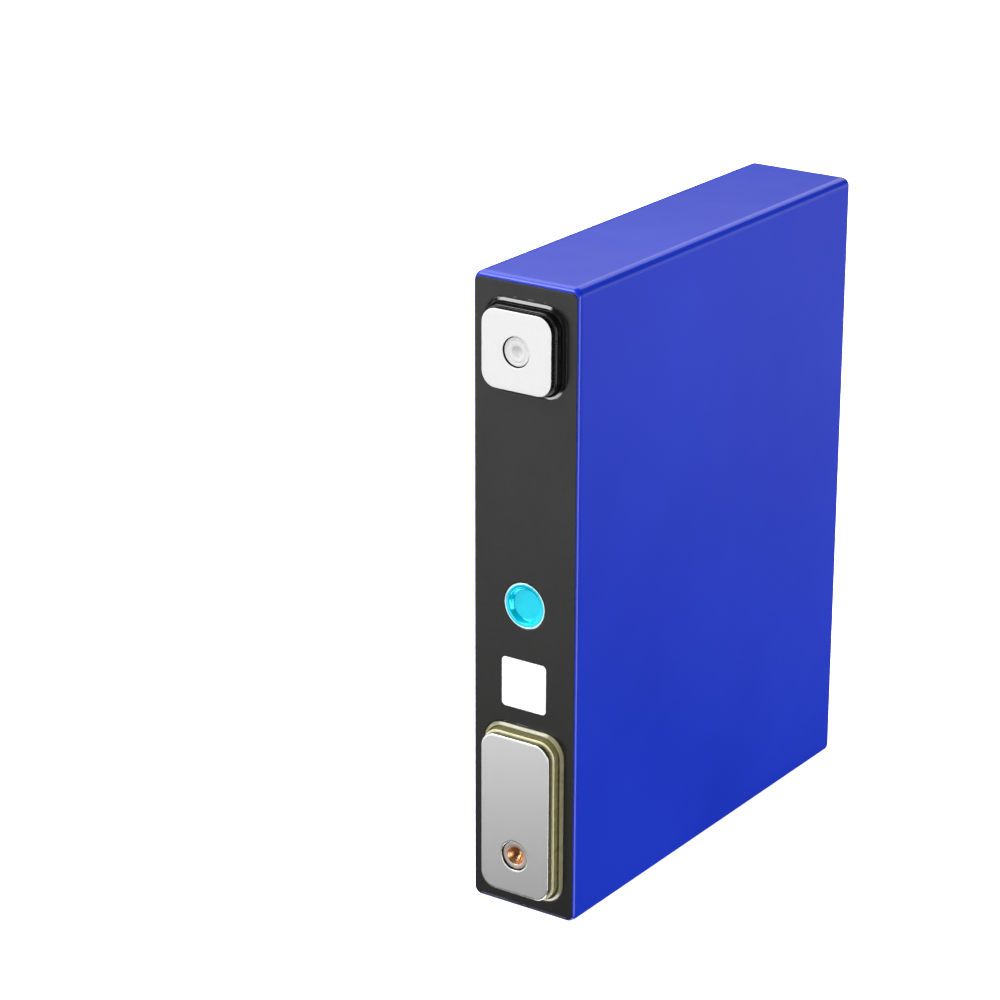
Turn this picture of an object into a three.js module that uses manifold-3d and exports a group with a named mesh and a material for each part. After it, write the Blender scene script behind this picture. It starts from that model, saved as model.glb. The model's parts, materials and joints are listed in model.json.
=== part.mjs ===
// A prismatic lithium iron phosphate cell: two flat windings in a drawn aluminium can, closed by a cap
// plate that carries two riveted terminals, a vent and a filling port, and wrapped in insulating film.
//
// Every piece is drawn upright: X is the can's thickness, Y its width, and Z runs from the can's floor to
// the terminals. The finished cell is then laid on its narrow side, with its terminals towards -Y.
// Lengths are millimetres.
import * as THREE from 'three';
import { mergeVertices } from 'three/addons/utils/BufferGeometryUtils.js';
import Module from 'manifold-3d';

const wasm = await Module();
wasm.setup();

// ---- driving dimensions -------------------------------------------------------------------------

const BODY = { thick: 27.7, wide: 148.8, high: 116.7, corner: 2.0, rim: 1.0 };
const TERMINAL_RISE = 3.7; // terminal faces above the face of the top sheet
const FACE_Y = -0.35; // the middle of the poles, vent and top sheet, from the middle of the can
const POLE_Y = 59.5; // each pole from that middle
const FIT = 0.08; // clearance between stacked or nested pieces

const FILM = { wall: 0.25, below_sheet: 0.1 };
const CAN = { wall: 0.6, floor: 0.8 };
const CAP_THICK = 2.0;
const SHEET = { thick: 26.4, wide: 147.1, corner: 1.3 };
const LABEL = { side: 11.8, corner: 1.0, y: -19.3, high: 0.1 };

const TERMINALS = [
  { name: 'positive', side: 1, thick: 18.0, wide: 17.8, centre_y: POLE_Y + FACE_Y, metal: 'aluminium' },
  { name: 'negative', side: -1, thick: 18.2, wide: 38.1, centre_y: -50.2, metal: 'copper' },
];
const PLATE = { high: 1.65, corner: 3.6, chamfer: 0.2, hole_r: 3.5 };
const POLE = { shaft_r: 3.3, recess: 0.4, base_r: 7.0, base_high: 1.27 };
const DIMPLE = { aluminium: { r: 1.4, deep: 0.5 }, copper: { r: 2.15, deep: 2.6 } };
const SEAT = { band: 0.4, groove: 0.9, flange: 1.6, rim_high: 0.5, groove_high: 0.15 }; // out from the plate
const SEAL = { bore_r: 3.45, neck_r: 4.3, flange_r: 6.0, flange_high: 0.7 };
const CAP_POLE_HOLE_R = 4.5;

const VENT = { seat_r: 4.65, hole_r: 3.7, ledge: 0.5, disc_r: 4.5, disc_high: 0.33 };
const SCORE = { r: 2.9, wide: 0.3, deep: 0.15 };
const DISH = { r: 5.35, rim: 0.35, ring_deep: 0.1, mouth_r: 4.35, floor_r: 3.55, deep: 1.2, wall: 0.25 };
const PORT = { y: 15, seat_r: 3.3, seat_deep: 0.8, hole_r: 1.5, cap_r: 3.15, cap_high: 0.65, plug_r: 1.35 };

const LOWER = { half_thick: 12.7, inner_y: 8, outer_y: 72, high: 1.47, rib: 1.0, rib_deep: 3.5 };
const LOWER_HOLE_R = { pole: 7.2, port: 2.2 };
const COLLECTOR = { half_thick: 9, inner_y: 22, outer_y: 68, high: 1.0, corner: 1.5 };
const TAB = { wide: 28, y: 36, high: 1.0, bend_r: 1.6, foot_end: 1.2 };

const BAG = { wall: 0.3, top: 107 };
const TRAY = { high: 1.0, hole_r: 2.5, hole_steps: 8, pitch: 28 };
const ROLL = { x: 6.1, radius: 6.0, wide: 145.2, core_r: 0.36, turns: 5, gap: 0.05 };
const LAYERS = [
  { name: 'cathode_winding', high: 0.27, margin: 2.0, look: 'cathode' },
  { name: 'inner_separator', high: 0.12, margin: 0.0, look: 'separator' },
  { name: 'anode_winding', high: 0.23, margin: 1.0, look: 'anode' },
  { name: 'outer_separator', high: 0.12, margin: 0.0, look: 'separator' },
];
const ROLL_TOP = 103.5;
const END_TAPE = { high: 0.15, wide: 40, tall: 60, off: 0.07 };

const ARC_STEPS = 4; // points in a quarter turn of a rounded corner
const ROUND_STEPS = 24; // points in a full circle
const WINDING_STEPS = 4; // points in each half turn of a winding

// ---- levels worked out from them -----------------------------------------------------------------

const TOP_Z = BODY.high + TERMINAL_RISE;
const FILM_TOP = BODY.high - FILM.below_sheet;
const CAN_INSET = FILM.wall + FIT;
const CAN_TOP = FILM_TOP - CAN_INSET;
const CAN_INSIDE = {
  thick: BODY.thick - 2 * (CAN_INSET + CAN.wall),
  wide: BODY.wide - 2 * (CAN_INSET + CAN.wall),
  corner: BODY.corner - CAN_INSET - CAN.wall,
  floor: CAN_INSET + CAN.floor,
};
const CAP_BOTTOM = CAN_TOP - CAP_THICK;
const SEAT_BOTTOM = CAN_TOP + FIT;
const PLATE_BOTTOM = TOP_Z - PLATE.high;
const SEAL_BOTTOM = CAP_BOTTOM - FIT - SEAL.flange_high;
const POLE_BOTTOM = SEAL_BOTTOM - FIT - POLE.base_high;
const COLLECTOR_BOTTOM = POLE_BOTTOM - FIT - COLLECTOR.high;
const LEDGE_Z = CAP_BOTTOM + VENT.ledge;
const PORT_SEAT_Z = CAN_TOP - PORT.seat_deep;
const BAG_FLOOR = CAN_INSIDE.floor + FIT;
const TRAY_FLOOR = BAG_FLOOR + BAG.wall + FIT;
const ROLL_BOTTOM = TRAY_FLOOR + TRAY.high + FIT;

// ---- materials -------------------------------------------------------------------------------------

const LOOKS = {
  film: { color: 0x2846c8, roughness: 0.3, metalness: 0.0 },
  can: { color: 0xb8babd, roughness: 0.4, metalness: 1.0 },
  cap: { color: 0xc2c4c6, roughness: 0.35, metalness: 1.0 },
  sheet: { color: 0x3a3a3a, roughness: 0.55, metalness: 0.0 },
  label: { color: 0xfafafa, roughness: 0.6, metalness: 0.0 },
  vent_film: { color: 0x1fd2f0, roughness: 0.25, metalness: 0.0 },
  foil: { color: 0xc9cacc, roughness: 0.3, metalness: 1.0 },
  positive_plate: { color: 0xf2f2f2, roughness: 0.45, metalness: 0.3 },
  negative_plate: { color: 0xbdbdbd, roughness: 0.4, metalness: 1.0 },
  aluminium: { color: 0xd8d8d8, roughness: 0.35, metalness: 1.0 },
  copper: { color: 0xc26a3a, roughness: 0.3, metalness: 1.0 },
  positive_seat: { color: 0x1c1c1d, roughness: 0.25, metalness: 0.0 },
  negative_seat: { color: 0xb5b193, roughness: 0.3, metalness: 0.0 },
  seal: { color: 0x2a2a2a, roughness: 0.6, metalness: 0.0 },
  lower_plastic: { color: 0x3b3d40, roughness: 0.5, metalness: 0.0 },
  bag: { color: 0xd9dde0, roughness: 0.4, metalness: 0.0 },
  cathode: { color: 0x2b2b2d, roughness: 0.8, metalness: 0.0 },
  anode: { color: 0x3d3b38, roughness: 0.7, metalness: 0.0 },
  separator: { color: 0xeef0ee, roughness: 0.6, metalness: 0.0 },
  tape: { color: 0x6f9a3c, roughness: 0.4, metalness: 0.0 },
};

// ---- outlines and solids ---------------------------------------------------------------------------

function arc(cx, cy, r, from, to, steps) {
  return Array.from({ length: steps + 1 }, (_, i) => {
    const a = from + ((to - from) * i) / steps;
    return new THREE.Vector2(cx + r * Math.cos(a), cy + r * Math.sin(a));
  });
}

function circle(r, x = 0, y = 0, steps = ROUND_STEPS) {
  return arc(x, y, r, 0, 2 * Math.PI, steps).slice(0, steps);
}

function roundedRectangle(thick, wide, corner, x = 0, y = 0) {
  const quarter = Math.PI / 2;
  const signs = [[1, 1], [-1, 1], [-1, -1], [1, -1]];
  return signs.flatMap(([sx, sy], i) =>
    arc(x + sx * (thick / 2 - corner), y + sy * (wide / 2 - corner), corner,
      i * quarter, (i + 1) * quarter, ARC_STEPS));
}

function toSolid(geometry) {
  geometry.deleteAttribute('normal');
  geometry.deleteAttribute('uv');
  const merged = mergeVertices(geometry, 1e-4);
  return new wasm.Manifold(new wasm.Mesh({
    numProp: 3,
    vertProperties: new Float32Array(merged.attributes.position.array),
    triVerts: new Uint32Array(merged.index.array),
  }));
}

function toGeometry(solid) {
  const { vertProperties, triVerts } = solid.getMesh();
  const geometry = new THREE.BufferGeometry();
  geometry.setAttribute('position', new THREE.BufferAttribute(new Float32Array(vertProperties), 3));
  geometry.setIndex(new THREE.BufferAttribute(new Uint32Array(triVerts), 1));
  geometry.computeVertexNormals();
  return geometry;
}

// A straight slab of an outline, with straight holes.
function slab(outline, from, to, holes = []) {
  const shape = new THREE.Shape(outline);
  shape.holes = holes.map((hole) => new THREE.Path(hole));
  const geometry = new THREE.ExtrudeGeometry(shape, { depth: to - from, bevelEnabled: false });
  return toSolid(geometry.translate(0, 0, from));
}

// A slab whose rims at both ends are rounded to the radius given.
function roundedSlab(outline, from, to, rim, steps = 3) {
  const geometry = new THREE.ExtrudeGeometry(new THREE.Shape(outline), {
    depth: to - from - 2 * rim,
    bevelSize: rim,
    bevelOffset: -rim,
    bevelThickness: rim,
    bevelSegments: steps,
  });
  return toSolid(geometry.translate(0, 0, from + rim));
}

// A turned piece about Z: the profile is [radius, z] points, and starts and ends on the axis or closes.
function turned(profile, x = 0, y = 0) {
  const points = profile.map(([r, z]) => new THREE.Vector2(r, z));
  const geometry = new THREE.LatheGeometry(points, ROUND_STEPS, Math.PI / 2);
  return toSolid(geometry.rotateX(Math.PI / 2).translate(x, y, 0));
}

function drill(r, y, from, to) {
  return slab(circle(r, 0, y), from, to);
}

const cell = new THREE.Group();

function addPiece(name, solid, look) {
  const mesh = new THREE.Mesh(toGeometry(solid), new THREE.MeshStandardMaterial(LOOKS[look]));
  mesh.name = name;
  cell.add(mesh);
}

// The cell's outer form, moved in by the same distance on every side.
function bodyForm(inset) {
  const outline = roundedRectangle(BODY.thick - 2 * inset, BODY.wide - 2 * inset, BODY.corner - inset);
  return roundedSlab(outline, inset, FILM_TOP - inset, BODY.rim - inset);
}

// ---- housing -----------------------------------------------------------------------------------------

function sheetOutline(out) {
  const { thick, wide, corner } = SHEET;
  return roundedRectangle(thick + 2 * out, wide + 2 * out, corner + out, 0, FACE_Y);
}

// The film is folded over the can's rim and ends at the edge of the black top sheet.
function wrapFilm() {
  const window = sheetOutline(FIT);
  return bodyForm(0).subtract(bodyForm(FILM.wall)).subtract(slab(window, CAP_BOTTOM, TOP_Z));
}

function can() {
  const cavity = roundedRectangle(CAN_INSIDE.thick, CAN_INSIDE.wide, CAN_INSIDE.corner);
  return bodyForm(CAN_INSET).subtract(slab(cavity, CAN_INSIDE.floor, TOP_Z));
}

function capPlate() {
  const { thick, wide, corner } = CAN_INSIDE;
  const outline = roundedRectangle(thick - 2 * FIT, wide - 2 * FIT, corner - FIT);
  const holes = [...TERMINALS.map((terminal) => circle(CAP_POLE_HOLE_R, 0, poleY(terminal))),
    circle(VENT.hole_r, 0, FACE_Y), circle(PORT.hole_r, 0, PORT.y)];
  return slab(outline, CAP_BOTTOM, CAN_TOP, holes)
    .subtract(drill(VENT.seat_r, FACE_Y, LEDGE_Z, TOP_Z))
    .subtract(drill(PORT.seat_r, PORT.y, PORT_SEAT_Z, TOP_Z));
}

function poleY(terminal) {
  return terminal.side * POLE_Y + FACE_Y;
}

function seatOutline(terminal, out) {
  const { thick, wide, centre_y } = terminal;
  return roundedRectangle(thick + 2 * out, wide + 2 * out, PLATE.corner + out, 0, centre_y);
}

function topSheet() {
  const holes = TERMINALS.map((terminal) => seatOutline(terminal, SEAT.flange + FIT));
  return slab(sheetOutline(0), SEAT_BOTTOM, BODY.high, [...holes, circle(DISH.r + FIT, 0, FACE_Y)]);
}

function codeLabel() {
  const from = BODY.high + FIT;
  return slab(roundedRectangle(LABEL.side, LABEL.side, LABEL.corner, 0, LABEL.y), from, from + LABEL.high);
}

// ---- vent and filling port -----------------------------------------------------------------------------

// A coloured film dish over the vent: a raised rim, a flat ring that is bonded to the cap, and a wall that
// steps down to a flat floor.
function ventFilm() {
  const ring = BODY.high - DISH.ring_deep;
  const floor = BODY.high - DISH.deep;
  return turned([
    [0, floor - DISH.wall],
    [DISH.floor_r, floor - DISH.wall],
    [DISH.mouth_r, ring - DISH.wall],
    [DISH.r, ring - DISH.wall],
    [DISH.r, BODY.high],
    [DISH.r - DISH.rim, BODY.high],
    [DISH.r - DISH.rim, ring],
    [DISH.mouth_r, ring],
    [DISH.floor_r, floor],
    [0, floor],
  ], 0, FACE_Y);
}

// A thin disc with a ring scored in its upper face, where it tears under pressure.
function ruptureDisc() {
  const from = LEDGE_Z + FIT;
  const to = from + VENT.disc_high;
  return turned([
    [0, from],
    [VENT.disc_r, from],
    [VENT.disc_r, to],
    [SCORE.r + SCORE.wide, to],
    [SCORE.r + SCORE.wide / 2, to - SCORE.deep],
    [SCORE.r, to],
    [0, to],
  ], 0, FACE_Y);
}

function portPlug() {
  return drill(PORT.plug_r, PORT.y, CAP_BOTTOM - FIT, PORT_SEAT_Z - FIT);
}

function portCap() {
  return drill(PORT.cap_r, PORT.y, PORT_SEAT_Z + FIT, PORT_SEAT_Z + FIT + PORT.cap_high);
}

// ---- terminals -----------------------------------------------------------------------------------------

function terminalPlate(terminal) {
  const outline = seatOutline(terminal, 0);
  const blank = roundedSlab(outline, PLATE_BOTTOM + FIT, TOP_Z, PLATE.chamfer, 1);
  return blank.subtract(drill(PLATE.hole_r, poleY(terminal), CAP_BOTTOM, TOP_Z + 1));
}

// The rivet: a base flange below the cap, and a shaft whose end is dimpled and sits below the plate's face.
function pole(terminal) {
  const dimple = DIMPLE[terminal.metal];
  const end = TOP_Z - POLE.recess;
  return turned([
    [0, POLE_BOTTOM],
    [POLE.base_r, POLE_BOTTOM],
    [POLE.base_r, POLE_BOTTOM + POLE.base_high],
    [POLE.shaft_r, POLE_BOTTOM + POLE.base_high],
    [POLE.shaft_r, end],
    [dimple.r, end],
    [0, end - dimple.deep],
  ], 0, poleY(terminal));
}

// The seat that holds the plate off the cap: a grooved flange with a raised rim, and a taller inner band.
function upperInsulator(terminal) {
  const flange = seatOutline(terminal, SEAT.flange);
  const groove = seatOutline(terminal, SEAT.groove);
  const rim = slab(flange, SEAT_BOTTOM, BODY.high + SEAT.rim_high, [groove]);
  const floor = slab(flange, SEAT_BOTTOM, BODY.high + SEAT.groove_high);
  const band = slab(seatOutline(terminal, SEAT.band), SEAT_BOTTOM, PLATE_BOTTOM);
  const bore = drill(SEAL.bore_r, poleY(terminal), CAP_BOTTOM, TOP_Z);
  return rim.add(floor).add(band).subtract(bore);
}

function sealRing(terminal) {
  const shoulder = SEAL_BOTTOM + SEAL.flange_high;
  return turned([
    [SEAL.bore_r, SEAL_BOTTOM],
    [SEAL.flange_r, SEAL_BOTTOM],
    [SEAL.flange_r, shoulder],
    [SEAL.neck_r, shoulder],
    [SEAL.neck_r, CAN_TOP],
    [SEAL.bore_r, CAN_TOP],
    [SEAL.bore_r, SEAL_BOTTOM],
  ], 0, poleY(terminal));
}

// A plate under the cap, stiffened by a rib along each long edge.
function lowerInsulator(terminal) {
  const { half_thick, inner_y, outer_y, high, rib, rib_deep } = LOWER;
  const to = CAP_BOTTOM - FIT;
  const from = to - high;
  const wide = outer_y - inner_y;
  const middle = (terminal.side * (inner_y + outer_y)) / 2;
  const plate = slab(roundedRectangle(2 * half_thick, wide, rib, 0, middle), from, to);
  const ribs = [-1, 1].map((side) => {
    const x = side * (half_thick - rib / 2);
    return slab(roundedRectangle(rib, wide - 2 * rib, rib / 4, x, middle), from - rib_deep, to);
  });
  const body = plate.add(ribs[0]).add(ribs[1])
    .subtract(drill(LOWER_HOLE_R.pole, poleY(terminal), 0, TOP_Z));
  return terminal.side > 0 ? body.subtract(drill(LOWER_HOLE_R.port, PORT.y, 0, TOP_Z)) : body;
}

function currentCollector(terminal) {
  const { half_thick, inner_y, outer_y, high, corner } = COLLECTOR;
  const middle = (terminal.side * (inner_y + outer_y)) / 2;
  const outline = roundedRectangle(2 * half_thick, outer_y - inner_y, corner, 0, middle);
  return slab(outline, COLLECTOR_BOTTOM, COLLECTOR_BOTTOM + high);
}

// A stack of foil tabs that rises from a winding and folds flat under its collector.
function tabStack(terminal, side) {
  const top = COLLECTOR_BOTTOM - FIT;
  const foot = ROLL_TOP + FIT;
  const { high, bend_r } = TAB;
  const outer = arc(ROLL.x + high / 2 - bend_r, top - bend_r, bend_r, 0, Math.PI / 2, ARC_STEPS);
  const inner = arc(ROLL.x + high / 2 - bend_r, top - bend_r, bend_r - high, Math.PI / 2, 0, ARC_STEPS);
  const outline = [
    new THREE.Vector2(ROLL.x + high / 2, foot),
    ...outer,
    new THREE.Vector2(TAB.foot_end, top),
    new THREE.Vector2(TAB.foot_end, top - high),
    ...inner,
    new THREE.Vector2(ROLL.x - high / 2, foot),
  ];
  const geometry = new THREE.ExtrudeGeometry(new THREE.Shape(outline), {
    depth: TAB.wide,
    bevelEnabled: false,
  });
  geometry.rotateX(Math.PI / 2);
  if (side < 0) geometry.rotateZ(Math.PI);
  const start = terminal.side * TAB.y + (side * TAB.wide) / 2;
  return toSolid(geometry.translate(0, start, 0));
}

// ---- windings ------------------------------------------------------------------------------------------

// One layer of a flat winding: a band between two offsets of a racetrack spiral. Its radius grows round
// each end and stays the same along each flat side. The left winding is the right one turned half round.
function windingOutline(low, high) {
  const pitch = (ROLL.radius - ROLL.core_r) / (ROLL.turns + 1);
  const flat = ROLL.wide / 2 - ROLL.radius;
  const edge = (offset) => Array.from({ length: 2 * ROLL.turns }, (_, half) =>
    Array.from({ length: WINDING_STEPS + 1 }, (_unused, step) => {
      const part = step / WINDING_STEPS;
      const angle = Math.PI * (half + part);
      const r = ROLL.core_r + (pitch * (half + part)) / 2 + offset;
      const centre = half % 2 ? -flat : flat;
      return new THREE.Vector2(r * Math.cos(angle), centre + r * Math.sin(angle));
    })).flat();
  return [...edge(high), ...edge(low).reverse()];
}

function windingLayer(layer, low, side) {
  const outline = windingOutline(low, low + layer.high)
    .map(({ x, y }) => new THREE.Vector2(side * (x + ROLL.x), side * y));
  return slab(outline, ROLL_BOTTOM + layer.margin, ROLL_TOP - layer.margin);
}

// The tape that holds down a winding's loose end, on the face towards the can.
function endTape(side) {
  const x = side * (ROLL.x + ROLL.radius + END_TAPE.off + END_TAPE.high / 2);
  const outline = roundedRectangle(END_TAPE.high, END_TAPE.wide, END_TAPE.high / 4, x);
  const middle = (ROLL_BOTTOM + ROLL_TOP) / 2;
  return slab(outline, middle - END_TAPE.tall / 2, middle + END_TAPE.tall / 2);
}

function insulatingBag() {
  const { thick, wide, corner } = CAN_INSIDE;
  const outside = roundedRectangle(thick - 2 * FIT, wide - 2 * FIT, corner - FIT);
  const inset = FIT + BAG.wall;
  const inside = roundedRectangle(thick - 2 * inset, wide - 2 * inset, corner - inset);
  return slab(outside, BAG_FLOOR, BAG.top).subtract(slab(inside, BAG_FLOOR + BAG.wall, TOP_Z));
}

function supportTray() {
  const inset = 2 * FIT + BAG.wall;
  const outline = roundedRectangle(CAN_INSIDE.thick - 2 * inset, CAN_INSIDE.wide - 2 * inset,
    CAN_INSIDE.corner - inset + FIT);
  const holes = [-2, -1, 0, 1, 2].flatMap((row) => [-1, 1].map((side) =>
    circle(TRAY.hole_r, side * ROLL.x, row * TRAY.pitch, TRAY.hole_steps)));
  return slab(outline, TRAY_FLOOR, TRAY_FLOOR + TRAY.high, holes);
}

// ---- assembly ------------------------------------------------------------------------------------------

addPiece('wrap_film', wrapFilm(), 'film');
addPiece('can', can(), 'can');
addPiece('cap_plate', capPlate(), 'cap');
addPiece('top_insulating_sheet', topSheet(), 'sheet');
addPiece('code_label', codeLabel(), 'label');
addPiece('vent_protective_film', ventFilm(), 'vent_film');
addPiece('vent_rupture_disc', ruptureDisc(), 'foil');
addPiece('fill_port_plug', portPlug(), 'seal');
addPiece('fill_port_cap', portCap(), 'cap');

for (const terminal of TERMINALS) {
  const { name, metal } = terminal;
  addPiece(`${name}_terminal_plate`, terminalPlate(terminal), `${name}_plate`);
  addPiece(`${name}_pole`, pole(terminal), metal);
  addPiece(`${name}_upper_insulator`, upperInsulator(terminal), `${name}_seat`);
  addPiece(`${name}_seal_ring`, sealRing(terminal), 'seal');
  addPiece(`${name}_lower_insulator`, lowerInsulator(terminal), 'lower_plastic');
  addPiece(`${name}_current_collector`, currentCollector(terminal), metal);
  addPiece(`${name}_tabs_left`, tabStack(terminal, -1), metal);
  addPiece(`${name}_tabs_right`, tabStack(terminal, 1), metal);
}

for (const [hand, side] of [['left', -1], ['right', 1]]) {
  let low = 0;
  for (const layer of LAYERS) {
    addPiece(`${hand}_${layer.name}`, windingLayer(layer, low, side), layer.look);
    low += layer.high + ROLL.gap;
  }
  addPiece(`${hand}_winding_end_tape`, endTape(side), 'tape');
}

addPiece('insulating_bag', insulatingBag(), 'bag');
addPiece('bottom_support_tray', supportTray(), 'lower_plastic');

// Laid on its narrow side: the terminals point to -Y, and the lower narrow side is at Z = 0.
cell.rotation.x = Math.PI / 2;
cell.position.set(0, TOP_Z / 2, BODY.wide / 2);

export default cell;
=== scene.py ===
"""The looks of one prismatic battery cell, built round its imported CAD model.

Metres, +Z up, in the frame of the CAD model: the terminals face -Y and the can's floor faces +Y. An outline
is a list of (x, z) points, and "out" is a height above the face it is on.
"""

import json
import math

import bmesh
import bpy
from mathutils import Matrix, Vector
from mathutils.geometry import tessellate_polygon


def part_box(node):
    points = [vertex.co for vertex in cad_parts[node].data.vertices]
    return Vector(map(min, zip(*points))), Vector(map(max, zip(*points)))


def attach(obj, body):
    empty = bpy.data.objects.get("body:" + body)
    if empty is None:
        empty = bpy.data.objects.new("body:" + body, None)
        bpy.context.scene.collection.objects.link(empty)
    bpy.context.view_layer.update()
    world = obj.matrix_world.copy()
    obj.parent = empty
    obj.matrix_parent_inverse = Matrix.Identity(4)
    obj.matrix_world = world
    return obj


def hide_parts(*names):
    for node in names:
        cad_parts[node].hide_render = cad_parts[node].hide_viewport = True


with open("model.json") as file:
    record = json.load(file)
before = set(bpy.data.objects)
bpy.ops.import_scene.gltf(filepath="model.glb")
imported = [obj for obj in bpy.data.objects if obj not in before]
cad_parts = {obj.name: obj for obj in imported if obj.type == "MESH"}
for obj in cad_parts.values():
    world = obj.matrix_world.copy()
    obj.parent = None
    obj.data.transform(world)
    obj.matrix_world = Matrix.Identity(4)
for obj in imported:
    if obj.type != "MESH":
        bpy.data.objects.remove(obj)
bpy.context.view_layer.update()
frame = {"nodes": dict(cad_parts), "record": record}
BODY = "root"
MM = 0.001

# ---- mesh tools -------------------------------------------------------------------------------------

CORNER_STEPS = 12  # in a quarter turn of an outline
SIDE_STEPS = 12  # along a straight side of an outline
NEAR_MOST = 0.08  # the largest part of a side from its end to the first point on it
BEVEL_STEPS = 5  # in a rounded edge
ROUND_STEPS = 96  # in a full circle
SUPPORT = 0.35 * MM  # a ring this far from a rounded edge keeps the flat beside it flat


def centre(node):
    low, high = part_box(node)
    return [(a + b) / 2 for a, b in zip(low, high)]


def span(node, axis):
    low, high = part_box(node)
    return high[axis] - low[axis]


def arc(cx, cz, radius, start, turn, steps):
    """Points round part of a circle, in degrees."""
    angles = [math.radians(start + turn * i / steps) for i in range(steps + 1)]
    return [(cx + radius * math.cos(a), cz + radius * math.sin(a)) for a in angles]


def rounded_rectangle(cx, cz, width, height, radius):
    """A rounded rectangle's points. Each straight side has points near its ends and along it."""
    points = []
    corners = [(1, 1, 0), (-1, 1, 90), (-1, -1, 180), (1, -1, 270)]
    for i, (sx, sz, start) in enumerate(corners):
        x, z = cx + sx * (width / 2 - radius), cz + sz * (height / 2 - radius)
        points += arc(x, z, radius, start, 90, CORNER_STEPS)
        length = height - 2 * radius if i % 2 else width - 2 * radius
        near_x, near_z, near_start = corners[(i + 1) % 4]
        end = arc(cx + near_x * (width / 2 - radius), cz + near_z * (height / 2 - radius),
                  radius, near_start, 0, 1)[0]
        begin = points[-1]
        near = min(NEAR_MOST, SUPPORT / length)
        for part in [near, *[k / SIDE_STEPS for k in range(1, SIDE_STEPS)], 1 - near]:
            points.append(tuple(a + (b - a) * part for a, b in zip(begin, end)))
    return points


def circle(cx, cz, radius):
    return arc(cx, cz, radius, 0, 360, ROUND_STEPS)[:-1]


def circle_towards(points, cx, cz, radius):
    """A circle with one point in the direction of each point of an outline round it."""
    angles = [math.atan2(z - cz, x - cx) for x, z in points]
    return [(cx + radius * math.cos(a), cz + radius * math.sin(a)) for a in angles]


def quarter_turn(steps):
    """(1 - sine, 1 - cosine) pairs from 0 to 90 degrees."""
    angles = [math.radians(90 * i / steps) for i in range(steps + 1)]
    return [(1 - math.sin(a), 1 - math.cos(a)) for a in angles]


def rounded_edge(radius):
    """(step in, out) pairs round the edge from a flat, where out is 0, down to the wall below it."""
    return [(radius * across, -radius * down) for across, down in quarter_turn(BEVEL_STEPS)]


def at(points, y):
    return [(x, y, z) for x, z in points]


def finished(mesh_name, bm, material, *replaced, slot=None):
    """A linked object from a bmesh, smooth-shaded, with its material and body set; slot is not used."""
    bmesh.ops.recalc_face_normals(bm, faces=bm.faces)
    mesh = bpy.data.meshes.new(mesh_name)
    bm.to_mesh(mesh)
    bm.free()
    mesh.shade_smooth()
    piece = bpy.data.objects.new(mesh_name, mesh)
    bpy.context.scene.collection.objects.link(piece)
    piece.data.materials.append(material)
    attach(piece, BODY)
    if replaced:
        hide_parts(*replaced)
    return piece


def bridge(bm, rows):
    """Faces between each row of vertices and the next one, which is as long."""
    for lower, upper in zip(rows, rows[1:]):
        for i in range(len(lower)):
            j = (i + 1) % len(lower)
            bm.faces.new((lower[i], lower[j], upper[j], upper[i]))


def skin(rings, ring_closes=False):
    """A bmesh through rings of equal length: joined end to end, or capped at its first and last ring."""
    bm = bmesh.new()
    rows = [[bm.verts.new(p) for p in ring] for ring in rings]
    if ring_closes:
        bridge(bm, [*rows, rows[0]])
    else:
        bridge(bm, rows)
        bm.faces.new(rows[0])
        bm.faces.new(rows[-1])
    return bm


def panel(outer, holes, y_front, y_back, edge):
    """A flat panel across Y with holes through it and rounded front edges.

    outer and each hole are functions of how far their outline steps into the panel's material.
    """
    bm = bmesh.new()
    flats = {"front": [], "back": []}
    for outline in [outer, *holes]:
        path = [(edge + SUPPORT, y_front)]
        path += [(step, y_front - out) for step, out in rounded_edge(edge)]
        path += [(0.0, y_back), (edge + SUPPORT, y_back)]
        rows = [[bm.verts.new(p) for p in at(outline(step), y)] for step, y in path]
        bridge(bm, rows)
        flats["front"].append(rows[0])
        flats["back"].append(rows[-1])
    for rows in flats.values():
        verts = [v for row in rows for v in row]
        loops = [[Vector((v.co.x, v.co.z, 0.0)) for v in row] for row in rows]
        for triangle in tessellate_polygon(loops):
            bm.faces.new([verts[i] for i in triangle])
    return bm


# ---- materials --------------------------------------------------------------------------------------


def srgb(red, green, blue):
    """A colour given as 0 to 255 display values, as the linear RGBA that nodes take."""
    parts = [c / 255 for c in (red, green, blue)]
    return (*[c / 12.92 if c <= 0.04045 else ((c + 0.055) / 1.055) ** 2.4 for c in parts], 1.0)


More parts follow.
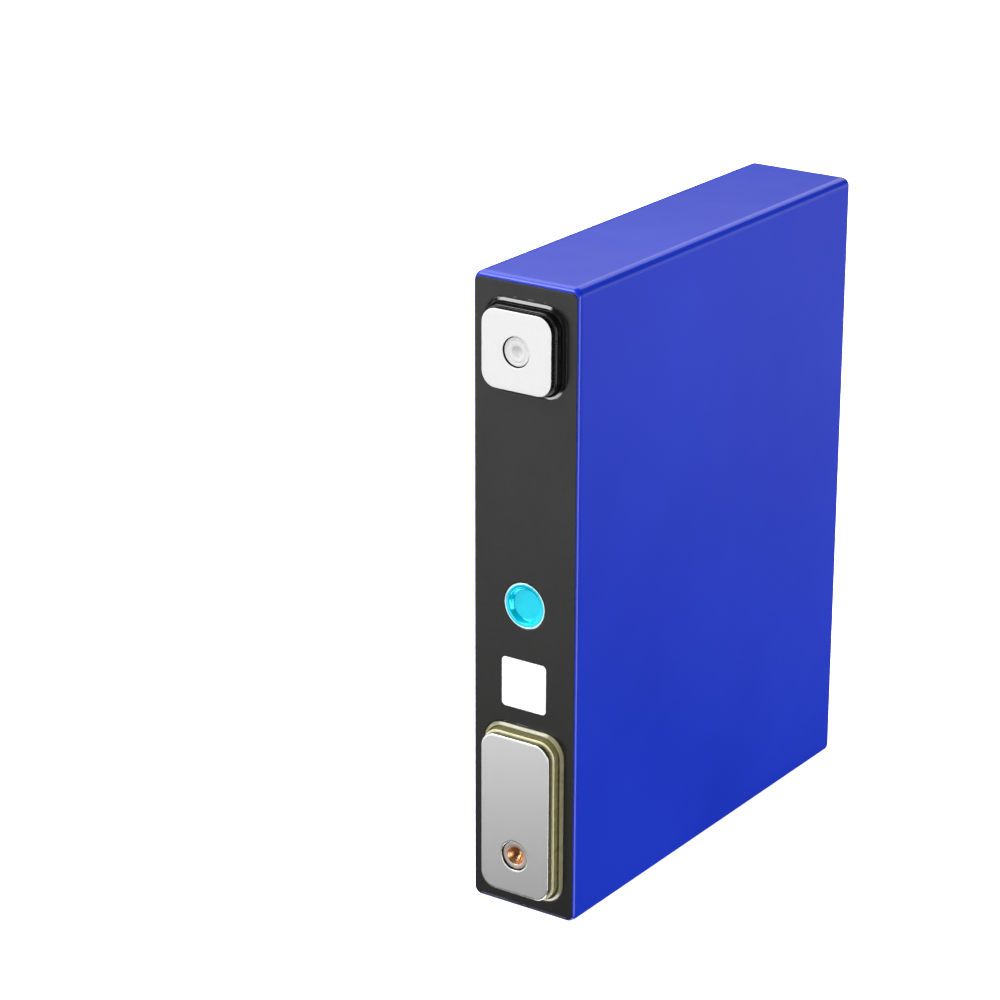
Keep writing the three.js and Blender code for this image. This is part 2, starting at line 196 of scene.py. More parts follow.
class Surface:
    """A procedural material: a Principled shader, with texture added in the part's own coordinates."""

    def __init__(self, name, **sockets):
        self.material = bpy.data.materials.new(name)
        self.material.use_nodes = True
        self.tree = self.material.node_tree
        self.shader = self.tree.nodes["Principled BSDF"]
        for socket, value in sockets.items():
            self.shader.inputs[socket.replace("_", " ")].default_value = value
        self.where = self.tree.nodes.new("ShaderNodeTexCoord").outputs["Object"]
        self.normal = None

    def node(self, kind, **settings):
        made = self.tree.nodes.new(kind)
        for key, value in settings.items():
            setattr(made, key, value)
        return made

    def link(self, source, target):
        self.tree.links.new(source, target)

    def stretched(self, scale, origin=(0, 0, 0)):
        """Coordinates scaled by axis about a point, for grain that runs one way."""
        moved = self.node("ShaderNodeVectorMath", operation="SUBTRACT")
        self.link(self.where, moved.inputs[0])
        moved.inputs[1].default_value = origin
        scaled = self.node("ShaderNodeVectorMath", operation="MULTIPLY")
        self.link(moved.outputs[0], scaled.inputs[0])
        scaled.inputs[1].default_value = scale
        return scaled.outputs[0]

    def noise(self, scale, detail=3.0, roughness=0.5, vector=None):
        made = self.node("ShaderNodeTexNoise")
        made.inputs["Scale"].default_value = scale
        made.inputs["Detail"].default_value = detail
        made.inputs["Roughness"].default_value = roughness
        self.link(vector or self.where, made.inputs["Vector"])
        return made.outputs["Fac"]

    def rings(self, origin, per_metre):
        """Turning marks: rings about a line along Y through origin."""
        flat = self.stretched((1.0, 0.0, 1.0), origin)
        made = self.node("ShaderNodeTexWave", wave_type="RINGS", rings_direction="SPHERICAL")
        made.inputs["Scale"].default_value = per_metre
        made.inputs["Distortion"].default_value = 0.6
        made.inputs["Detail Scale"].default_value = 40.0
        self.link(flat, made.inputs["Vector"])
        return made.outputs["Fac"]

    def spread(self, source, low, high, output_low, output_high):
        made = self.node("ShaderNodeMapRange")
        for socket, value in zip(("From Min", "From Max", "To Min", "To Max"),
                                 (low, high, output_low, output_high)):
            made.inputs[socket].default_value = value
        self.link(source, made.inputs["Value"])
        return made.outputs["Result"]

    def colours(self, source, first, second, low=0.35, high=0.65):
        made = self.node("ShaderNodeMix", data_type="RGBA")
        self.link(self.spread(source, low, high, 0.0, 1.0), made.inputs["Factor"])
        made.inputs["A"].default_value = first
        made.inputs["B"].default_value = second
        self.link(made.outputs["Result"], self.shader.inputs["Base Color"])
        return self

    def glosses(self, source, first, second, low=0.35, high=0.65):
        self.link(self.spread(source, low, high, first, second), self.shader.inputs["Roughness"])
        return self

    def bump(self, source, height, strength=1.0):
        made = self.node("ShaderNodeBump")
        made.inputs["Distance"].default_value = height
        made.inputs["Strength"].default_value = strength
        self.link(source, made.inputs["Height"])
        if self.normal:
            self.link(self.normal, made.inputs["Normal"])
        self.normal = made.outputs["Normal"]
        self.link(self.normal, self.shader.inputs["Normal"])
        return self


def blue_film():
    look = Surface("blue_film", Coat_Weight=0.9, Coat_Roughness=0.06, Specular_IOR_Level=0.1)
    look.colours(look.noise(18, 2), srgb(11, 41, 169), srgb(16, 46, 176))
    look.glosses(look.noise(55, 4), 0.42, 0.5)
    look.bump(look.noise(28, 1.5), 0.06 * MM, 0.12)
    look.bump(look.noise(1800, 3), 0.01 * MM, 0.2)
    return look.material


def black_sheet():
    look = Surface("black_sheet")
    look.colours(look.noise(1500, 4), srgb(19, 19, 18), srgb(26, 26, 25))
    look.glosses(look.noise(60, 3), 0.2, 0.27)
    look.bump(look.noise(2600, 4, 0.6), 0.02 * MM, 0.35)
    return look.material


def white_label():
    look = Surface("white_label", Specular_IOR_Level=0.3)
    look.colours(look.noise(900, 5), srgb(250, 250, 250), srgb(255, 255, 255))
    look.glosses(look.noise(300, 3), 0.5, 0.65)
    look.bump(look.noise(3500, 4), 0.008 * MM, 0.3)
    return look.material


def vent_film(name, dark, pale):
    look = Surface(name, Metallic=0.5, Coat_Weight=0.3, Coat_Roughness=0.05)
    look.colours(look.noise(260, 3), dark, pale)
    look.glosses(look.noise(500, 3), 0.14, 0.22)
    look.bump(look.noise(240, 2), 0.03 * MM, 0.15)
    return look.material


def blasted_aluminium(name, dark, pale, rough):
    look = Surface(name, Metallic=0.4)
    look.colours(look.noise(4200, 4, 0.6), dark, pale)
    look.glosses(look.noise(900, 4), rough - 0.05, rough + 0.05)
    look.bump(look.noise(5200, 3, 0.6), 0.012 * MM, 0.3)
    return look.material


def brushed_aluminium(name, dark, pale, rough, metallic=1.0):
    look = Surface(name, Metallic=metallic)
    grain = look.noise(1.0, 4, 0.6, look.stretched((16000, 16000, 900)))
    look.colours(grain, dark, pale)
    look.glosses(grain, rough - 0.03, rough + 0.03)
    look.bump(grain, 0.002 * MM, 0.25)
    return look.material


def turned_metal(name, origin, dark, pale, rough, metallic=1.0):
    look = Surface(name, Metallic=metallic)
    marks = look.rings(origin, 900)
    look.colours(look.noise(1200, 4), dark, pale)
    look.glosses(marks, rough - 0.04, rough + 0.06, 0.0, 1.0)
    look.bump(marks, 0.006 * MM, 0.35)
    return look.material


def moulded_plastic(name, dark, pale, rough, specular=0.55):
    look = Surface(name, Specular_IOR_Level=specular)
    look.colours(look.noise(700, 4), dark, pale)
    look.glosses(look.noise(420, 3), rough - 0.05, rough + 0.05)
    look.bump(look.noise(1400, 2), 0.01 * MM, 0.25)
    return look.material


def rolled_sheet(name, dark, pale, rough):
    """Rolled or drawn metal, with faint lines along Y, the way the can is drawn."""
    look = Surface(name, Metallic=1.0)
    grain = look.noise(1.0, 4, 0.55, look.stretched((5000, 120, 5000)))
    look.colours(grain, dark, pale)
    look.glosses(grain, rough - 0.06, rough + 0.08)
    look.bump(grain, 0.004 * MM, 0.3)
    return look.material


def powder(name, dark, pale, rough):
    """Electrode coating: matte pressed powder."""
    look = Surface(name)
    look.colours(look.noise(3000, 6, 0.7), dark, pale)
    look.glosses(look.noise(800, 3), rough - 0.05, rough + 0.05)
    look.bump(look.noise(6000, 5, 0.7), 0.01 * MM, 0.5)
    return look.material


def thin_film(name, dark, pale, rough):
    """Separator, bag and tape: thin plastic with faint wrinkles."""
    look = Surface(name, Coat_Weight=0.15, Coat_Roughness=0.3)
    look.colours(look.noise(120, 4), dark, pale)
    look.glosses(look.noise(200, 3), rough - 0.06, rough + 0.06)
    look.bump(look.noise(140, 3), 0.05 * MM, 0.35)
    return look.material


# ---- pieces -----------------------------------------------------------------------------------------

FILM_WALL = 0.25 * MM
FILM_CORNER = 2.0 * MM  # along the four long edges
FILM_RIM_DEEP = 1.5 * MM  # how far back the rounding of the front rim reaches
FILM_RIM_STEPS = 10
LIP_GAP = 0.08 * MM  # between the film's front edge and the black sheet
LIP_CORNER = 1.38 * MM
LEAST_CORNER = 0.5 * MM
FLOOR_ROUND = 1.3 * MM  # round the edge of the can's floor
FLOOR_ROUND_STEPS = 8


def film_shell(material):
    """The blue skin: a closed shell that rolls over the can's rim to the edge of the black sheet."""
    low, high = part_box("wrap_film")
    lip_low, lip_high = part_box("top_insulating_sheet")
    lip = [(lip_low[axis] - LIP_GAP, lip_high[axis] + LIP_GAP) for axis in (0, 2)]
    body = [(low[axis], high[axis]) for axis in (0, 2)]

    def section(part, inset, y):
        """The outline a part of the way from the body's to the lip's, then inset by the same all round."""
        (x_low, x_high), (z_low, z_high) = [
            [a + (b - a) * part for a, b in zip(wide, narrow)] for wide, narrow in zip(body, lip)]
        width, height = x_high - x_low - 2 * inset, z_high - z_low - 2 * inset
        radius = max(FILM_CORNER + (LIP_CORNER - FILM_CORNER) * part - inset, LEAST_CORNER)
        return at(rounded_rectangle((x_low + x_high) / 2, (z_low + z_high) / 2, width, height, radius), y)

    rim = [section(across, 0.0, low[1] + FILM_RIM_DEEP * back)
           for across, back in quarter_turn(FILM_RIM_STEPS)]
    floor = [section(0.0, FLOOR_ROUND * across, high[1] - FLOOR_ROUND * back)
             for back, across in quarter_turn(FLOOR_ROUND_STEPS)]
    inner = [
        section(1.0, 0.0, low[1] + FILM_WALL),
        section(0.0, FILM_WALL, low[1] + FILM_RIM_DEEP),
        section(0.0, FILM_WALL, high[1] - FLOOR_ROUND),
        section(0.0, FLOOR_ROUND, high[1] - FILM_WALL),
    ]
    side = [
        section(0.0, 0.0, low[1] + FILM_RIM_DEEP + SUPPORT),
        section(0.0, 0.0, high[1] - FLOOR_ROUND - SUPPORT),
    ]
    end = [section(0.0, FLOOR_ROUND + SUPPORT, high[1])]
    bm = skin([*inner[::-1], *rim, *side, *floor, *end])
    return finished("film_shell", bm, material, "wrap_film", slot="blue_film")


FLAP_HIGH = 0.11 * MM
FLAP_EDGE = 0.06 * MM
FLAP_IN = 1.5 * MM  # from the edge of the floor
FLAP_PAST_MIDDLE = 3.5 * MM
FLAP_SUNK = 0.05 * MM


def drawn_in(points, step):
    """A convex outline with each point moved a step towards the middle along both axes."""
    middle = [sum(values) / len(points) for values in zip(*points)]
    return [tuple(a + math.copysign(step, m - a) for a, m in zip(point, middle)) for point in points]


def floor_flaps(material):
    """Two long flaps of film that close the can's floor, the second over the first.

    Each comes from a long side, goes past the middle, and is cut at 45 degrees at both ends.
    """
    low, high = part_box("wrap_film")
    half = (high[0] - low[0]) / 2 - FLAP_IN
    bottom, top = low[2] + FLAP_IN, high[2] - FLAP_IN
    reach = half + FLAP_PAST_MIDDLE
    for name, side, layers in (("film_flap_under", 1, 1), ("film_flap_over", -1, 2)):
        points = [(side * half, bottom), (side * half, top),
                  (-side * FLAP_PAST_MIDDLE, top - reach), (-side * FLAP_PAST_MIDDLE, bottom + reach)]
        face = high[1] + layers * FLAP_HIGH
        rings = [at(points, high[1] - FLAP_SUNK)]
        rings += [at(drawn_in(points, step), face + out) for step, out in rounded_edge(FLAP_EDGE)[::-1]]
        rings.append(at(drawn_in(points, FLAP_EDGE + SUPPORT), face))
        finished(name, skin(rings), material, slot="blue_film")


def panel_outline(node, radius):
    """How a node's rounded outline on the terminal face steps in: a function for panel()."""
    cx, _, cz = centre(node)
    width, height = span(node, 0), span(node, 2)

    def outline(step):
        return rounded_rectangle(cx, cz, width - 2 * step, height - 2 * step, radius - step)

    return outline


def hole_outline(node, radius, gap):
    """The same for a hole that clears a node's outline."""
    cx, _, cz = centre(node)
    width, height = span(node, 0) + 2 * gap, span(node, 2) + 2 * gap

    def outline(step):
        return rounded_rectangle(cx, cz, width + 2 * step, height + 2 * step, radius + gap + step)

    return outline


def round_hole(node, gap):
    """The same for a round hole."""
    cx, _, cz = centre(node)
    radius = span(node, 0) / 2 + gap

    def outline(step):
        return circle(cx, cz, radius + step)

    return outline


SHEET_CORNER = 1.3 * MM
SHEET_EDGE = 0.08 * MM
FLANGE_CORNER = 5.2 * MM  # of the seats, which the sheet's cut-outs follow
CUTOUT_GAP = 0.1 * MM


def cover_sheet(material):
    """The black sheet, with a cut-out for each seat and for the vent."""
    low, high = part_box("top_insulating_sheet")
    holes = [hole_outline(f"{sign}_upper_insulator", FLANGE_CORNER, CUTOUT_GAP)
             for sign in ("positive", "negative")]
    holes.append(round_hole("vent_protective_film", CUTOUT_GAP))
    outer = panel_outline("top_insulating_sheet", SHEET_CORNER)
    bm = panel(outer, holes, low[1], high[1], SHEET_EDGE)
    return finished("cover_sheet", bm, material, "top_insulating_sheet", slot="black_sheet")


LABEL_CORNER = 1.0 * MM
LABEL_EDGE = 0.04 * MM


def label(material):
    """The blank white square."""
    low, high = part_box("code_label")
    bm = panel(panel_outline("code_label", LABEL_CORNER), [], low[1], high[1], LABEL_EDGE)
    return finished("label", bm, material, "code_label", slot="white_label")


def revolved(node, profile):
    """A closed turned body about a node's middle, through (radius, y) points that start and end near it."""
    cx, _, cz = centre(node)
    return skin([at(circle(cx, cz, radius), y) for radius, y in profile])


# "mouth", "floor" and "middle" are radii: where the wall starts and ends, and where the floor is closed.
DISH = {"rim": 0.36 * MM, "ring_deep": 0.1 * MM, "mouth": 4.4 * MM, "floor": 3.5 * MM, "deep": 1.2 * MM,
        "wall": 0.25 * MM, "middle": 0.3 * MM}
DISH_WALL_STEPS = 14
BEAD_STEPS = 15
BEAD_SQUASH = 0.6  # the rolled rim's height as a part of its half width
BESIDE = 0.1 * MM  # a ring this far from where a flat ends keeps it flat


def vent_dish(film_material, rim_material):
    """The light blue dish: a rolled rim with a painted highlight, a flat ring, and a curved step down to a
    flat round floor.
    """
    low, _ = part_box("vent_protective_film")
    cx, _, cz = centre("vent_protective_film")
    outer, top = span("vent_protective_film", 0) / 2, low[1]
    ring, floor = top + DISH["ring_deep"], top + DISH["deep"]
    rim_in = outer - DISH["rim"]
    bead = DISH["rim"] / 2
    under = [(DISH["middle"], floor + DISH["wall"]), (DISH["floor"], floor + DISH["wall"]),
             (DISH["mouth"], ring + DISH["wall"]), (outer, ring + DISH["wall"])]
    rim = [(radius, top + BEAD_SQUASH * (bead - rise))
           for radius, rise in arc(outer - bead, 0, bead, 0, 180, BEAD_STEPS)]
    flat = [(rim_in, ring), (rim_in - BESIDE, ring)]
    wall = []
    for i in range(DISH_WALL_STEPS + 1):
        part = i / DISH_WALL_STEPS
        eased = part * part * (3 - 2 * part)
        wall.append((DISH["mouth"] + (DISH["floor"] - DISH["mouth"]) * part, ring + (floor - ring) * eased))
    bottom = [(DISH["floor"] - BESIDE, floor), (DISH["middle"], floor)]
    bm = revolved("vent_protective_film", [*under, *rim, *flat, *wall, *bottom])
    piece = finished("vent_dish", bm, film_material, "vent_protective_film", slot="vent_film_cyan")
    piece.data.materials.append(rim_material)
    # The rim faces take the pale second material, a painted highlight.
    for face in piece.data.polygons:
        spot = face.center
        if math.hypot(spot.x - cx, spot.z - cz) > rim_in and spot.y < ring:
            face.material_index = 1
    return piece


PLATE_CORNER = 3.6 * MM
PLATE_EDGE = {"positive": 0.14 * MM, "negative": 0.16 * MM}
PLATE_HOLE = 3.5 * MM
HOLE_EDGE = 0.1 * MM
STEEP = 0.3  # a face is part of a wall if its normal has less than this along Y
FLAT = 0.95  # and part of a flat if its normal has more than this


def terminal_plate(sign, material, painted_shade_material):
    """A pad with a round hole for its pole, and fine rounded edges. Its side takes the second material:
    painted shade.
    """
    node = f"{sign}_terminal_plate"
    low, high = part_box(node)
    pole_x, _, pole_z = centre(f"{sign}_pole")
    outline = panel_outline(node, PLATE_CORNER)
    edge = PLATE_EDGE[sign]
    rings = [at(outline(edge + SUPPORT), low[1])]
    rings += [at(outline(step), low[1] - out) for step, out in rounded_edge(edge)]
    rings += [at(outline(0.0), high[1] - edge), at(outline(edge), high[1])]
    guide = outline(edge + SUPPORT)

    def hole(step, y):
        return at(circle_towards(guide, pole_x, pole_z, PLATE_HOLE + step), y)

    rings += [hole(SUPPORT, high[1]), hole(0.0, high[1])]
    rings += [hole(step, low[1] - out) for step, out in rounded_edge(HOLE_EDGE)[::-1]]
    rings.append(hole(HOLE_EDGE + SUPPORT, low[1]))
    bm = skin(rings, ring_closes=True)
    piece = finished(f"{sign}_pad", bm, material, node, slot=f"{sign}_plate_metal")
    piece.data.materials.append(painted_shade_material)
    # The side faces take the darker second material, which paints shade and reflection on them.
    for face in piece.data.polygons:
        if abs(face.normal.y) < STEEP and face.center.y > low[1] + edge:
            face.material_index = 1
    return piece


POLE = {"shaft": 3.3 * MM, "edge": 0.12 * MM, "base_high": 1.27 * MM}
# The hollow in each rivet's end, as (radius, depth) in mm: a fine groove that goes round a shallow dimple,
# and a cone.
HOLLOWS = {
    "positive": [(2.62, 0.0), (2.5, 0.05), (2.4, 0.02)],
    "negative": [(2.27, 0.0), (2.19, 0.03), (2.15, 0.12), (1.6, 1.008), (0.645, 2.208), (0.15, 2.4)],
}
# On the positive rivet the second material is a darker copy of the first, which paints shade in the dimple;
# on the negative rivet it is the cone's copper.
HOLLOW_RADIUS = {"positive": 1.47 * MM, "negative": 2.17 * MM}  # of the part in the second material
# "wide" and "narrow" are the radii that the dimple starts and ends at, and "start" is its depth at the first.
DIMPLE = {"wide": 1.95 * MM, "narrow": 0.05 * MM, "start": 0.03 * MM, "deep": 0.25 * MM, "steps": 10}
HOLLOW_LIMIT = 3.4 * MM  # what is further than this behind the rivet's end is its underside


def dimple():
    """(radius, depth) points of the positive rivet's shallow dimple."""
    points = []
    for i in range(DIMPLE["steps"] + 1):
        part = i / DIMPLE["steps"]
        radius = DIMPLE["wide"] + (DIMPLE["narrow"] - DIMPLE["wide"]) * part
        points.append((radius, DIMPLE["start"] + DIMPLE["deep"] * math.sin(math.radians(90 * part)) ** 2))
    return points


def pole(sign, face_material, hollow_material):
    """The rivet: its end is a ring round a hollow, a shallow dimple on one and a cone on the other."""
    node = f"{sign}_pole"
    low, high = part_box(node)
    cx, _, cz = centre(node)
    end, shoulder = low[1], high[1] - POLE["base_high"]
    base = span(node, 0) / 2
    profile = [(base, high[1]), (base, shoulder), (POLE["shaft"], shoulder)]
    profile += [(POLE["shaft"] - step, end - out) for step, out in rounded_edge(POLE["edge"])[::-1]]
    hollow = [(radius * MM, deep * MM) for radius, deep in HOLLOWS[sign]]
    if sign == "positive":
        hollow += dimple()
    profile += [(radius, end + deep) for radius, deep in hollow]
    slot = "pole_aluminium" if sign == "positive" else "copper"
    piece = finished(f"{sign}_rivet", revolved(node, profile), face_material, node, slot=slot)
    piece.data.materials.append(hollow_material)
    # Faces in the hollow take the second material: the copper cone on the negative rivet, painted shade in
    # the positive rivet's dimple.
    for face in piece.data.polygons:
        spot = face.center
        away = math.hypot(spot.x - cx, spot.z - cz)
        if away < HOLLOW_RADIUS[sign] and spot.y < end + HOLLOW_LIMIT:
            face.material_index = 1
    return piece


# The seat's profile, as (out from the pad's outline, height above the black sheet) in mm.
SEAT_FLANGE = 1.6
SEAT_PROFILE = [
    (SEAT_FLANGE, 0.0), (1.5875, 0.056), (1.55, 0.08),  # the rim's foot
    (1.5, 0.12), (1.05, 0.46), (1.0, 0.49), (0.95, 0.5),  # up its chamfer
    (0.9, 0.45), (0.78, 0.2), (0.7, 0.12),  # down its inner wall
    (0.45, 0.12), (0.4, 0.17),  # across the groove, to the foot of the band
]
RIM_HIGH = 0.5 * MM
GROOVE_HIGH = 0.12 * MM
BAND = {"out": 0.4 * MM, "edge": 0.14 * MM, "beside": 0.1 * MM, "under": 0.2 * MM}
NEARLY = 0.05 * MM  # a face this near a height is at it
SEAT_BORE = 3.45 * MM


def terminal_seat(sign, material, painted_shade_material, rim_material):
    """The moulded seat: a chamfered rim, a groove, and a band that stands out a little past the pad.

    Its walls and groove take the second material, a darker copy that paints shade on them, and the rim's
    chamfer takes the third, which on the negative seat is a darker copy that paints shade on the chamfer.
    """
    node, plate = f"{sign}_upper_insulator", f"{sign}_terminal_plate"
    low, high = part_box(node)
    cx, _, cz = centre(plate)
    width, height = span(plate, 0), span(plate, 2)
    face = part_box("top_insulating_sheet")[0][1]
    pole_x, _, pole_z = centre(f"{sign}_pole")

    def ring(out, y):
        return at(rounded_rectangle(cx, cz, width + 2 * out, height + 2 * out, PLATE_CORNER + out), y)

    band, edge = BAND["out"], BAND["edge"]
    rings = [ring(SEAT_FLANGE * MM, high[1])]
    rings += [ring(out * MM, face - up * MM) for out, up in SEAT_PROFILE]
    rings.append(ring(band, low[1] + edge + BAND["beside"]))
    rings += [ring(band - step, low[1] - out) for step, out in rounded_edge(edge)[::-1]]
    rings.append(ring(band - edge - BAND["under"], low[1]))
    guide = [(x, z) for x, _, z in rings[-1]]
    bore = circle_towards(guide, pole_x, pole_z, SEAT_BORE)
    rings += [at(bore, low[1]), at(bore, high[1])]
    slot = "black_seat_plastic" if sign == "positive" else "champagne_seat_plastic"
    piece = finished(f"{sign}_seat", skin(rings, ring_closes=True), material, node, slot=slot)
    piece.data.materials.append(painted_shade_material)
    piece.data.materials.append(rim_material)
    # Walls and the groove floor take painted shade; the rim's chamfer takes the third material, painted shade
    # on the negative seat.
    for polygon in piece.data.polygons:
        y, facing = polygon.center.y, abs(polygon.normal.y)
        in_groove = facing > FLAT and abs(y - (face - GROOVE_HIGH)) < NEARLY
        if low[1] + edge < y < face and (facing < STEEP or in_groove):
            polygon.material_index = 1
        elif face - RIM_HIGH - NEARLY < y < face and facing < FLAT:
            polygon.material_index = 2
    return piece


# ---- the model ----------------------------------------------------------------------------------------

film = blue_film()
film_shell(film)
floor_flaps(film)
cover_sheet(black_sheet())
label(white_label())
vent_dish(vent_film("vent_film", srgb(0, 206, 236), srgb(2, 218, 243)),
          # A pale copy for the rim: a painted highlight.
          vent_film("vent_film_rim_painted_highlight", srgb(205, 250, 255), srgb(225, 255, 255)))

positive_axis, negative_axis = centre("positive_pole"), centre("negative_pole")
terminal_plate(
    "positive",
    blasted_aluminium("positive_pad", srgb(220, 220, 220), srgb(227, 227, 227), 0.45),
    # A darker metal for the pad's side: painted shade and reflection.
    turned_metal("positive_pad_wall_painted_shade", positive_axis, srgb(40, 40, 41), srgb(58, 58, 59), 0.22))
terminal_plate(
    "negative",
    brushed_aluminium("negative_pad", srgb(238, 239, 238), srgb(245, 246, 245), 0.17, 0.85),
    # An olive metal for the pad's side: painted shade and reflection.
    turned_metal("negative_pad_wall_painted_shade", negative_axis, srgb(104, 100, 74), srgb(124, 119, 92), 0.22))
pole(
    "positive",
    turned_metal("rivet_aluminium", positive_axis, srgb(214, 214, 214), srgb(224, 224, 224), 0.45, 0.4),
    # A darker copy for the dimple: painted shade.
    turned_metal("rivet_dimple_painted_shade", positive_axis, srgb(196, 196, 197), srgb(210, 210, 211), 0.45, 0.4))
pole(
    "negative",
    turned_metal("rivet_copper_face", negative_axis, srgb(210, 197, 190), srgb(222, 210, 203), 0.4),
    turned_metal("rivet_copper", negative_axis, srgb(240, 176, 122), srgb(252, 200, 150), 0.3))
black_seat = moulded_plastic("black_seat", srgb(14, 14, 15), srgb(20, 20, 21), 0.12, 1.0)
terminal_seat(
    "positive",
    black_seat,
    # A darker copy for the walls and groove: painted shade.
    moulded_plastic("black_seat_wall_painted_shade", srgb(7, 7, 7), srgb(10, 10, 10), 0.3, 0.2),
    black_seat)
terminal_seat(
    "negative",
    moulded_plastic("champagne_seat", srgb(204, 200, 160), srgb(216, 212, 172), 0.2, 1.0),
    # A darker copy for the walls and groove: painted shade.
    moulded_plastic("champagne_seat_wall_painted_shade", srgb(96, 92, 58), srgb(108, 104, 68), 0.3, 0.3),
    # A darker copy for the rim's chamfer: painted shade.
    moulded_plastic("champagne_seat_rim_painted_shade", srgb(122, 119, 92), srgb(134, 131, 103), 0.2, 1.0))

# What the inner nodes of the CAD are made of, by their material slot.
INNER = {
    "can_aluminium": rolled_sheet("can_metal", srgb(188, 190, 193), srgb(206, 208, 210), 0.36),
    "cap_aluminium": rolled_sheet("cap_metal", srgb(194, 196, 198), srgb(212, 213, 215), 0.34),
    "vent_foil": rolled_sheet("foil_metal", srgb(200, 201, 203), srgb(216, 217, 219), 0.28),
    "pole_aluminium": rolled_sheet("strip_aluminium", srgb(205, 206, 208), srgb(222, 223, 225), 0.32),
    "copper": rolled_sheet("strip_copper", srgb(190, 104, 62), srgb(208, 122, 78), 0.3),
    "seal_rubber": powder("seal_rubber", srgb(34, 34, 34), srgb(44, 44, 44), 0.6),
    "inner_plastic": moulded_plastic("inner_plastic", srgb(54, 56, 60), srgb(64, 66, 70), 0.45),
    "clear_bag": thin_film("bag_film", srgb(208, 214, 219), srgb(222, 227, 231), 0.3),
    "cathode_coating": powder("cathode_powder", srgb(38, 38, 40), srgb(48, 48, 50), 0.85),
    "anode_coating": powder("anode_powder", srgb(54, 52, 50), srgb(66, 64, 61), 0.75),
    "separator_film": thin_film("separator_film", srgb(232, 234, 232), srgb(243, 245, 243), 0.6),
    "end_tape": thin_film("end_tape", srgb(100, 146, 52), srgb(120, 164, 68), 0.35),
}
slots = {row["node"]: row["material_slot"] for row in frame["record"]["subparts"]}
for node, thing in frame["nodes"].items():
    if slots[node] in INNER:
        thing.data.materials.clear()
        thing.data.materials.append(INNER[slots[node]])

# ---- stage --------------------------------------------------------------------------------------------

CAMERA = {"at": (0.38228, -0.61672, 0.34475), "azimuth": 34.768, "elevation": 19.921, "roll": 0.091,
          "lens": 119.2}


def add_camera():
    data = bpy.data.cameras.new("camera")
    data.lens = CAMERA["lens"]
    camera = bpy.data.objects.new("camera", data)
    bpy.context.scene.collection.objects.link(camera)
    turn = Matrix.Rotation(math.radians(CAMERA["azimuth"]), 3, "Z")
    turn = turn @ Matrix.Rotation(math.radians(90 - CAMERA["elevation"]), 3, "X")
    turn = turn @ Matrix.Rotation(math.radians(CAMERA["roll"]), 3, "Z")
    camera.matrix_world = Matrix.LocRotScale(Vector(CAMERA["at"]), turn, None)
    bpy.context.scene.camera = camera


FLOOR_REACH = 6.0
FLOOR_GLOW = 0.9


def add_floor():
    """A pale floor that glows a little, so that it stays even, and that only the camera sees."""
    mesh = bpy.data.meshes.new("floor")
    corners = [(-1, -1), (1, -1), (1, 1), (-1, 1)]
    mesh.from_pydata([(x * FLOOR_REACH, y * FLOOR_REACH, 0) for x, y in corners], [], [(0, 1, 2, 3)])
    floor = bpy.data.objects.new("floor", mesh)
    bpy.context.scene.collection.objects.link(floor)
    look = Surface("floor", Roughness=0.9, Specular_IOR_Level=0.1)
    look.colours(look.noise(3), srgb(246, 246, 246), srgb(250, 250, 250))
    look.shader.inputs["Emission Color"].default_value = (1.0, 1.0, 1.0, 1.0)
    look.shader.inputs["Emission Strength"].default_value = FLOOR_GLOW
    floor.data.materials.append(look.material)
    floor.visible_glossy = False
    floor.visible_diffuse = False
    floor.visible_shadow = False


# Soft boxes in front of the cell, to its right, over it and behind it: the name of each, where it is, its
# width and height, and its power. All of them aim at one point in the cell.
LIGHTS = [
    ("front_softbox", (-0.15, -0.95, 0.35), (0.7, 0.5), 4.3),
    ("side_softbox", (0.95, 0.0, 0.15), (0.7, 0.6), 4.9),
    ("top_softbox", (-0.5, -0.1, 0.85), (0.6, 0.6), 9.6),
    ("back_softbox", (0.35, 1.0, 0.25), (0.6, 0.5), 4.5),
]
LIGHTS_AIM = (0, 0, 0.08)


def add_light(name, place, size, power):
    """A soft box that lights the cell without showing in its gloss: the panels do that."""
    data = bpy.data.lights.new(name, "AREA")
    data.shape = "RECTANGLE"
    data.size, data.size_y = size
    data.energy = power
    light = bpy.data.objects.new(name, data)
    bpy.context.scene.collection.objects.link(light)
    light.location = place
    light.visible_glossy = False
    light.rotation_euler = (Vector(LIGHTS_AIM) - Vector(place)).to_track_quat("-Z", "Y").to_euler()


# Soft panels round the cell, by the direction they stand in: azimuth and elevation, half their size across
# and up, how far their edges fade, all in degrees, and how bright they are. Azimuth 0 is in front of the
# terminals, and 90 is to the right of them. The film's long upper edge stays dark between the two faces
# beside it because no panel stands where that edge reflects.
PANELS = [
    {"azimuth": -36, "elevation": -3.5, "half_across": 40, "half_up": 15.8, "fade": 9, "level": 1.15},
    {"azimuth": 86, "elevation": -8, "half_across": 16, "half_up": 22, "fade": 6, "level": 3.2},
    {"azimuth": 150, "elevation": -6, "half_across": 22, "half_up": 9, "fade": 11, "level": 0.33},
    {"azimuth": 145, "elevation": 0, "half_across": 25, "half_up": 7, "fade": 7, "level": 0.4},
    {"azimuth": 215, "elevation": 31, "half_across": 35, "half_up": 7, "fade": 13, "level": 1.2},
    {"azimuth": -50, "elevation": 43, "half_across": 24, "half_up": 7, "fade": 10, "level": 7.0},
    {"azimuth": -118, "elevation": 52, "half_across": 28, "half_up": 8, "fade": 8, "level": 2.2},
    {"azimuth": 0, "elevation": -90, "half_across": 180, "half_up": 25, "fade": 10, "level": 4.5},
]
SKY_LEVEL = 0.03


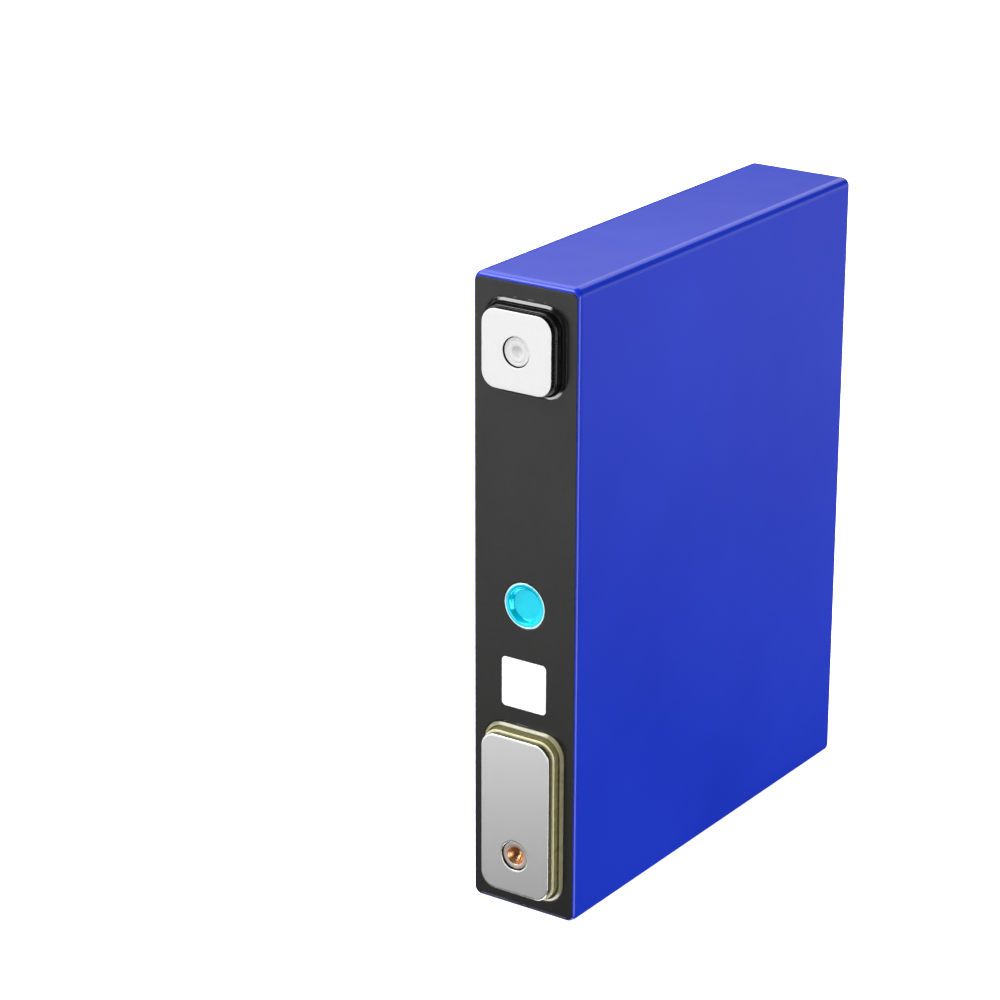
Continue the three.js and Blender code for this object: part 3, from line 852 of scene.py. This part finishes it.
def add_studio():
    """White behind the cell, and soft panels round it that only light and reflections see."""
    world = bpy.data.worlds.new("studio")
    bpy.context.scene.world = world
    world.use_nodes = True
    nodes, links = world.node_tree.nodes, world.node_tree.links

    def calculated(operation, *values):
        made = nodes.new("ShaderNodeMath")
        made.operation = operation
        for socket, value in zip(made.inputs, values):
            if isinstance(value, (int, float)):
                socket.default_value = value
            else:
                links.new(value, socket)
        return made.outputs[0]

    def inside(angle, middle, half, fade):
        """1 where the angle is within half of the middle, easing to 0 over the fade."""
        turn = calculated("WRAP", calculated("SUBTRACT", angle, math.radians(middle)), math.pi, -math.pi)
        fall = nodes.new("ShaderNodeMapRange")
        fall.interpolation_type = "SMOOTHSTEP"
        fall.inputs["From Min"].default_value = math.radians(half)
        fall.inputs["From Max"].default_value = math.radians(half + fade)
        fall.inputs["To Min"].default_value = 1.0
        fall.inputs["To Max"].default_value = 0.0
        links.new(calculated("ABSOLUTE", turn), fall.inputs["Value"])
        return fall.outputs["Result"]

    split = nodes.new("ShaderNodeSeparateXYZ")
    links.new(nodes.new("ShaderNodeTexCoord").outputs["Generated"], split.inputs[0])
    forward = calculated("MULTIPLY", split.outputs["Y"], -1.0)
    azimuth = calculated("ARCTAN2", split.outputs["X"], forward)
    elevation = calculated("ARCSINE", split.outputs["Z"])
    total = SKY_LEVEL
    for board in PANELS:
        across = inside(azimuth, board["azimuth"], board["half_across"], board["fade"])
        up = inside(elevation, board["elevation"], board["half_up"], board["fade"])
        lit = calculated("MULTIPLY", calculated("MULTIPLY", across, up), board["level"])
        total = calculated("ADD", lit, total)
    pick = nodes.new("ShaderNodeMix")
    links.new(nodes.new("ShaderNodeLightPath").outputs["Is Camera Ray"], pick.inputs["Factor"])
    links.new(total, pick.inputs["A"])
    pick.inputs["B"].default_value = 1.0
    links.new(pick.outputs["Result"], nodes["Background"].inputs["Color"])


add_camera()
add_floor()
add_studio()
for light in LIGHTS:
    add_light(*light)
bpy.context.scene.view_settings.view_transform = "Standard"
